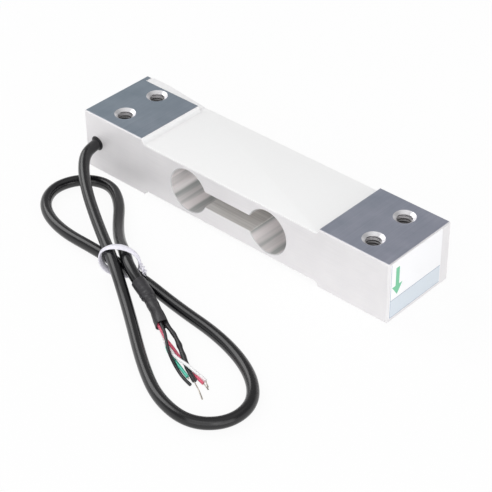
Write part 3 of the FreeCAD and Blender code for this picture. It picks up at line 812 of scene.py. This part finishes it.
def gland_seal_piece():
    """Black sealant pressed in round the cable, with a low uneven fillet against the side."""
    exit_x, face = (SEAL[0].x + SEAL[1].x) / 2, BEAM_LOW.y
    centre_z = (SEAL[0].z + SEAL[1].z) / 2
    bore, sunk, play = CABLE_RADIUS + 0.4 * MM, 2.9 * MM, 0.02 * MM
    sections = []
    for angle in turns(48):
        lip = 0.30 * MM + 0.06 * MM * sin(3 * angle + 0.5)
        profile = [(CABLE_RADIUS - play, sunk), (bore - play, sunk), (bore - play, 0.0),
                   (bore + lip, 0.0), (bore + lip * 0.6, -0.14 * MM),
                   (bore - 0.05 * MM, -0.27 * MM), (CABLE_RADIUS, -0.38 * MM)]
        sections.append([(exit_x + r * cos(angle), face + depth, centre_z + r * sin(angle))
                         for r, depth in profile])
    black = cured_silicone("black_silicone", "#161618", "#232326")
    piece = mesh_piece("cable_gland_seal", [skin(sections, closed=True)], black,
                       crease=60.0)
    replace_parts(piece, "cable_seal")
    return piece


class LOADCELL_OT_cable(bpy.types.Operator):
    """Makes the cable with its seal, its heat shrink and its tie."""
    bl_idname = "loadcell.cable"
    bl_label = "Cable"

    def execute(self, context):
        settings = context.scene.load_cell.cable
        jacket = extruded_pvc("jacket_pvc", settings.jacket, roughness=0.21, size=1.2 * MM,
                              depth=0.003 * MM)
        shader = jacket.node_tree.nodes["Principled BSDF"]
        shader.inputs["Specular IOR Level"].default_value = 0.52    # soft, slightly dusty PVC
        cable = cord_piece("cable", CABLE_ROUTE, CABLE_RADIUS, jacket)
        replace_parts(cable, "signal_cable")
        tie, coating, side = tie_loop_piece(settings)
        extras = [heat_shrink_piece(settings), gland_seal_piece(), tie]
        extras += tie_tail_piece(coating, side)
        return {"FINISHED"}


# ---- leads
def lead_route(name):
    """A lead's route: beside the others in the sleeve, then its own way."""
    angle, spread, free = LEADS[name]
    across = cos(radians(angle)) * spread
    up = sin(radians(angle)) * spread
    held = [(x + LEAD_SIDE[0] * across, y + LEAD_SIDE[1] * across, z + up)
            for x, y, z in LEAD_START]
    return held + free


def drain_sleeve_piece(material):
    """Black sleeving over the screen's drain wire, lumpy and kinked where it was pushed back."""
    kink, kink_at, wave = 0.16, 0.56, 0.07      # shares of the radius, and of the length
    path = read_path(lead_route("drain"), steps=14)
    sections = []
    for i, (point, side, up) in enumerate(carried(path)):
        share = i / (len(path) - 1)
        lump = kink * exp(-((share - kink_at) / 0.03) ** 2) + wave * sin(38 * share)
        reach = DRAIN_RADIUS * (0.94 + lump)
        sections.append(ring_round(point, side, up,
                                   lambda a, r=reach, s=share: r * (1 + 0.07 * cos(
                                       2 * a + 9 * s)), 20))
    piece = mesh_piece("drain_sleeving", [skin(sections)], material)
    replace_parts(piece, "drain_sleeve")
    return piece, path


def bare_strands(name, route, number, radius, nodes, copper):
    """Twisted copper strands that stand out of the insulation."""
    skins = strands(read_path(route), number, radius, lay_length=2.2 * MM, spread=1.0)
    piece = mesh_piece(name, skins, copper)
    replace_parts(piece, nodes)
    return piece


class LOADCELL_OT_leads(bpy.types.Operator):
    """Makes the four cores, the sleeved drain wire and their bare ends."""
    bl_idname = "loadcell.leads"
    bl_label = "Leads"

    def execute(self, context):
        settings = context.scene.load_cell.leads
        copper = tinned_copper()
        start = LEAD_START[0]
        for name in ("black", "green", "red", "white"):
            pvc = extruded_pvc(f"{name}_pvc", getattr(settings, name), roughness=0.34,
                               size=0.4 * MM)
            lead = cord_piece(f"{name}_core", lead_route(name), LEAD_RADIUS, pvc)
            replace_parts(lead, f"lead_{name}")
            tips = []
            if name in TIP_ROUTES:
                tips = [bare_strands(f"{name}_strands", TIP_ROUTES[name], 5, settings.strand,
                                     f"bare_tip_{name}", copper)]
            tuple(start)
        sleeving = shrunk_polyolefin("drain_sleeving", linear("#1D1C1F"))
        drain, path = drain_sleeve_piece(sleeving)
        wire = bare_strands("drain_strands", DRAIN_WIRE_ROUTE, 6, settings.strand, "drain_wire",
                            copper)
        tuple(start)
        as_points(path)
        return {"FINISHED"}


# ---- the beam and what it carries
def dress(node, material):
    """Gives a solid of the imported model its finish."""
    slots = frame["nodes"][node].data.materials
    slots.clear()
    slots.append(material)


def thread_coil(x, y, radius, settings):
    """Ridge of a tapped thread from countersink to countersink, as one coil."""
    pitch, depth = settings.thread_pitch, settings.thread_depth
    from_face, steps = 0.75 * MM, 36            # the steps of one turn
    low, high = BEAM_LOW.z + from_face, BEAM_HIGH.z - from_face
    last = (high - low - pitch) / pitch * steps
    root = radius + 0.03 * MM                   # just inside the wall of the hole
    sections = []
    for i in range(int(last) + 1):
        angle = 2 * pi * i / steps
        level = low + pitch * i / steps
        grow = min(i / steps, 1.0, (last - i) / steps)
        crest = radius - depth * (0.15 + 0.85 * grow)
        profile = [(root, 0.04), (crest, 0.40), (crest, 0.60), (root, 0.96)]
        sections.append([(x + r * cos(angle), y + r * sin(angle), level + pitch * up)
                         for r, up in profile])
    return skin(sections)


def turned_ring(x, y, radius, face, outward, profile):
    """Skin turned round a hole's axis; the profile gives reach past the hole and depth."""
    return skin([[(x + (radius + out) * cos(angle), y + (radius + out) * sin(angle),
                   face - outward * depth) for out, depth in profile]
                 for angle in turns(96)], closed=True)


def countersink_rings(x, y, radius, face, outward, width):
    """Skins of a countersink's smooth cone and of the flat lip that it was cut through."""
    lip_width, fine, cone_wall = 0.38 * MM, 0.02 * MM, 0.06 * MM
    mouth, foot, deep = width - lip_width, -0.48 * MM, 0.78 * MM
    cone = [(mouth, 0.0), (foot, deep), (foot + cone_wall, deep + fine),
            (mouth + cone_wall, fine)]
    lip = [(mouth, -fine / 2), (width + fine, -fine / 2), (width + fine, 0.0),
           (mouth, fine / 2)]
    return [turned_ring(x, y, radius, face, outward, profile) for profile in (cone, lip)]


class LOADCELL_OT_beam(bpy.types.Operator):
    """Finishes the beam, and the countersinks and threads of its four mounting holes."""
    bl_idname = "loadcell.beam"
    bl_label = "Beam and threads"

    def execute(self, context):
        settings = context.scene.load_cell.beam
        bar = anodised_aluminium(settings)
        dress("load_cell_body", bar)
        tapped = tapped_aluminium(settings)
        bright = countersunk_aluminium()
        faces = ((BEAM_HIGH.z, 1), (BEAM_LOW.z, -1))
        for pattern in PATTERNS:
            x, y, _ = pattern["pos_m"]
            apart = pattern["dims"]["spacing_y_mm"] * MM
            radius = pattern["dims"]["hole_r_mm"] * MM
            coils = [thread_coil(x, y + side * apart / 2, radius, settings)
                     for side in (-1, 1)]
            mesh_piece(f"{pattern['name']}_threads", coils, tapped, crease=20.0)
            cones, lips = zip(*[countersink_rings(x, y + side * apart / 2, radius, face,
                                                  outward, settings.countersink)
                                for side in (-1, 1) for face, outward in faces])
            mesh_piece(f"{pattern['name']}_countersinks", cones, bright)
            mesh_piece(f"{pattern['name']}_lips", lips, bar, crease=20.0)
        return {"FINISHED"}


def film_piece(name, node, low, high, material, settings, down=False):
    """Cover film over a recess, with round corners and a soft edge."""
    middle = (low + high) / 2
    place = Matrix.Translation((middle.x, middle.y, high.z if down else low.z))
    if down:
        place = place @ Matrix.Rotation(pi, 4, "X")
    sheet = thin_sheet(high.x - low.x, high.y - low.y, high.z - low.z, settings.film_corner,
                       place)
    piece = mesh_piece(name, [sheet], material)
    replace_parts(piece, node)


def channel_filling_piece(material):
    """Sealant smoothed into the wire channel: level by the riser, falling to the recess."""
    low, high = CHANNEL
    rng = random.Random(7)                      # the same draws in each run
    sections = []
    steps, across_steps, sunk = 40, 8, 0.02 * MM
    level_end = low.x + 8.0 * MM
    foot = UPPER_FILM[1].z
    for i in range(steps + 1):
        x = low.x + (high.x - low.x) * i / steps
        fall = min(max((x - level_end) / (high.x - level_end), 0.0), 1.0)
        top = high.z - (high.z - foot) * fall
        round_off = 0.25 * MM * max(0.0, 1 - i / 2)
        crown = 0.10 * MM + rng.uniform(-0.02, 0.02) * MM
        ring = [(x, low.y, low.z), (x, high.y, low.z)]
        for k in range(across_steps + 1):
            share = k / across_steps
            bow = crown * sin(pi * share) * min(1.0, 2 * fall + 0.3)
            ring.append((x, high.y + (low.y - high.y) * share, top - round_off - sunk + bow))
        sections.append(ring)
    piece = mesh_piece("channel_filling", [skin(sections)], material)
    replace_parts(piece, "channel_sealant")


def step_beads_piece(material):
    """Sealant drawn into the round at both ends of each recess, up to just under the pads."""
    below_pad, from_sides, into_pad, steps = 0.08 * MM, 0.25 * MM, 0.1 * MM, 40
    pad_edge, rise = abs(CHANNEL[1].x), BEAM_HIGH.z - UPPER_FILM[1].z - below_pad
    reach, foot, thick = 1.7 * MM, 0.2 * MM, 0.15 * MM
    first, back = BEAM_LOW.y + from_sides, BEAM_HIGH.y - from_sides
    skins = []
    for end in (-1, 1):
        for upper in (True, False):
            last = CHANNEL[0].y if upper and end < 0 else back
            sections = []
            for i in range(steps + 1):
                y = first + (last - first) * i / steps
                top = rise - 0.02 * MM * (1 + sin(0.9 * i + end))       # faintly wavy
                profile = [(-into_pad, -foot), (-into_pad, top)]
                profile += [(reach - (reach - thick) * cos(a), top * (1 - sin(a)))
                            for a in (pi / 2 * k / 8 for k in range(9))]
                profile.append((reach, -foot))
                sections.append([(end * (pad_edge - out), y,
                                  UPPER_FILM[1].z + up if upper else LOWER_FILM[0].z - up)
                                 for out, up in profile])
            skins.append(skin(sections))
    mesh_piece("recess_end_beads", skins, material)


class LOADCELL_OT_sealing(bpy.types.Operator):
    """Lays the cover films and the sealant, and finishes what they hide."""
    bl_idname = "loadcell.sealing"
    bl_label = "Films and sealant"

    def execute(self, context):
        settings = context.scene.load_cell.sealing
        film = matt_polyester("white_cover_film", settings.film, "#F7F7F7")
        film_piece("upper_film", "upper_cover_film", *UPPER_FILM, film, settings)
        film_piece("lower_film", "lower_cover_film", *LOWER_FILM, film, settings, down=True)
        filler = cured_silicone("white_silicone", settings.filler, "#F4F4F4")
        channel_filling_piece(filler)
        step_beads_piece(filler)
        finishes = {
            "upper_sealant": filler, "lower_sealant": filler,
            "gauge_carrier": sealed_part("polyimide_film", "#B9772A", "#CF8E3C", 0.35),
            "gauge_grid": sealed_part("constantan_foil", "#A79A86", "#C2B7A4", 0.3, 1.0),
            "terminal_board": sealed_part("glass_epoxy_board", "#2F6B40", "#3D7E4E", 0.4),
            "trim_resistor": sealed_part("chip_resistor_ceramic", "#1B1B1D", "#2B2B2E", 0.4),
            "jumper": sealed_part("tinned_jumper_wire", "#B4AEA6", "#D2CFCA", 0.3, 1.0),
            "core_white": extruded_pvc("inner_white_pvc", linear("#F1F1F3")),
            "core_green": extruded_pvc("inner_green_pvc", linear("#2FAF8F")),
            "core_red": extruded_pvc("inner_red_pvc", linear("#D8405F")),
            "core_black": extruded_pvc("inner_black_pvc", linear("#2A2A2E")),
            "bridge_link": extruded_pvc("link_pvc", linear("#ECECEF")),
        }
        for node in frame["nodes"]:
            for stem, finish in finishes.items():
                if node.startswith(stem):
                    dress(node, finish)
        return {"FINISHED"}


class LOADCELL_OT_label(bpy.types.Operator):
    """Sticks the label on the loaded end, with its pale band and its load arrow."""
    bl_idname = "loadcell.label"
    bl_label = "Label"

    def execute(self, context):
        settings = context.scene.load_cell.label
        low, high = LABEL
        width, height, thick = high.y - low.y, high.z - low.z, high.x - low.x
        middle_y = (low.y + high.y) / 2
        paper = matt_polyester("white_label_film", settings.ground, "#F9F9FB")
        sheet = thin_sheet(width, height, thick, settings.corner,
                           on_end_face(middle_y, (low.z + high.z) / 2))
        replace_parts(mesh_piece("end_label", [sheet], paper), "label")
        ink, margin, fine = 0.01 * MM, 0.25 * MM, 0.18 * MM     # fine is the rules' width
        arrow_from_front, arrow_from_top = 3.3 * MM, 7.5 * MM
        band = thin_sheet(width - 2 * margin, settings.band_height, ink, settings.corner,
                          on_end_face(middle_y, low.z + margin + settings.band_height / 2, thick))
        blue = matt_polyester("pale_blue_ink", settings.band, "#DAE2EA")
        mesh_piece("label_band", [band], blue)
        band_top = low.z + margin + settings.band_height
        rules = [thin_sheet(wide, tall, 2 * ink, fine / 3, on_end_face(y, z, thick))
                 for wide, tall, y, z in (
                     (width - 2 * margin, fine, middle_y, band_top),
                     (width - 2 * margin, fine, middle_y, low.z + margin),
                     (fine, height - 2 * margin, low.y + margin, (low.z + high.z) / 2))]
        ruled = matt_polyester("grey_blue_ink", settings.rule, "#97A2B6")
        mesh_piece("label_rules", rules, ruled)
        green = matt_polyester("green_ink", settings.arrow, "#74C69C")
        outline = [(0.85, 5.0), (0.85, -1.5), (2.45, -1.5), (0.0, -5.0), (-2.45, -1.5),
                   (-0.85, -1.5), (-0.85, 5.0)]         # in millimetres from its middle
        place = on_end_face(low.y + arrow_from_front, high.z - arrow_from_top, thick)
        sections = [[place @ Vector((u * MM, v * MM, level)) for u, v in reversed(outline)]
                    for level in (0.0, ink)]
        mesh_piece("label_arrow", [skin(sections)], green)
        return {"FINISHED"}


# ---- panel and registration
OPERATORS = (LOADCELL_OT_studio, LOADCELL_OT_cable, LOADCELL_OT_leads, LOADCELL_OT_beam,
             LOADCELL_OT_sealing, LOADCELL_OT_label)


class LOADCELL_PT_panel(bpy.types.Panel):
    """Lists the operators in the order in which they run."""
    bl_idname = "LOADCELL_PT_panel"
    bl_label = "Load cell"
    bl_space_type = "VIEW_3D"
    bl_region_type = "UI"
    bl_category = "Load cell"

    def draw(self, context):
        for operator in OPERATORS:
            self.layout.operator(operator.bl_idname)


CLASSES = (StudioSettings, BeamSettings, SealingSettings, LabelSettings, CableSettings,
           LeadSettings, LoadCellSettings, *OPERATORS, LOADCELL_PT_panel)


def register():
    for each in CLASSES:
        bpy.utils.register_class(each)
    bpy.types.Scene.load_cell = PointerProperty(type=LoadCellSettings)


def unregister():
    del bpy.types.Scene.load_cell
    for each in reversed(CLASSES):
        bpy.utils.unregister_class(each)


def main():
    """Registers the add-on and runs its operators."""
    register()
    for operator in OPERATORS:
        getattr(bpy.ops.loadcell, operator.bl_idname.split(".")[1])()


if __name__ == "__main__":
    main()
